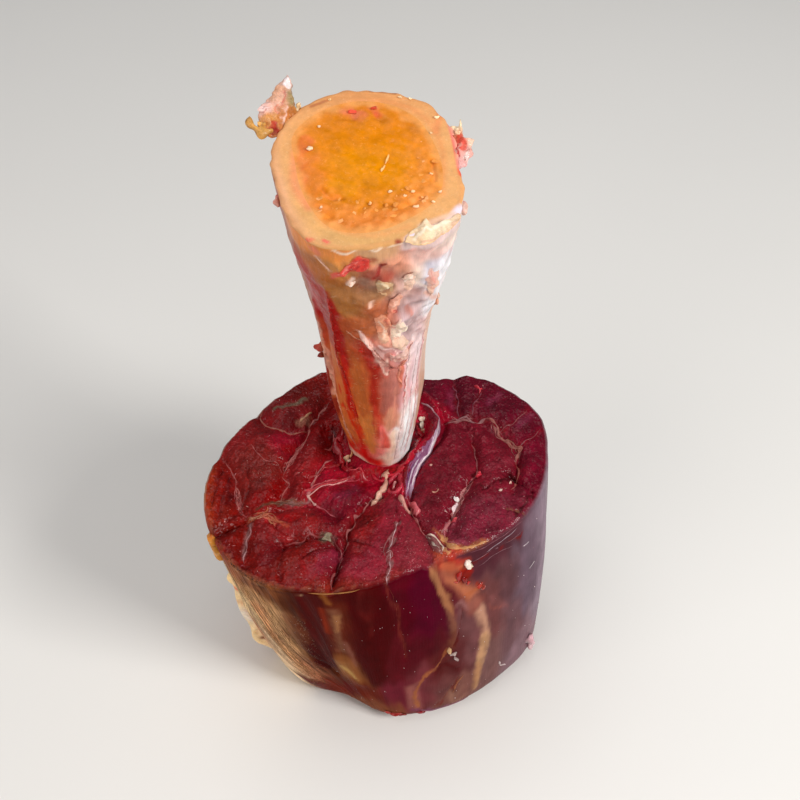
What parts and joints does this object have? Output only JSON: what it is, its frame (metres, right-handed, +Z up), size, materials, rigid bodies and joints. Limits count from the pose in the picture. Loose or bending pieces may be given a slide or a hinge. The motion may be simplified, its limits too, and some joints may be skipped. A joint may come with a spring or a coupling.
{
  "type": "raw beef shank",
  "caption": "Thick cut of raw beef shank standing on its lower cut, with the bare, sawn shank bone rising out of it and marrow showing at the sawn end.",
  "frame": {"origin": "middle of the flat lower cut that the meat stands on", "axes": "+Z up along the standing meat and bone, +Y to the back, where the bone stands nearest the wall, +X to the side of the large round muscle"},
  "size_m": [0.1655, 0.1338, 0.3337],
  "materials": {
    "raw_muscle": "moist raw muscle, dark purple red, with pale seams and silver skin on its wall",
    "raw_bone": "moist scraped bone, cream to tan, with red streaks",
    "raw_marrow": "fatty sawn marrow, yellow to orange",
    "gristle": "wet gristle, cream and pink",
    "fat": "cream fat, slightly greasy"
  },
  "bodies": {
    "root": {"meat": "raw_muscle", "bone": "raw_bone", "marrow": "raw_marrow", "gristle_tag": "gristle", "rim_tag": "gristle", "fat_flap": "fat"}
  },
  "joints": []
}
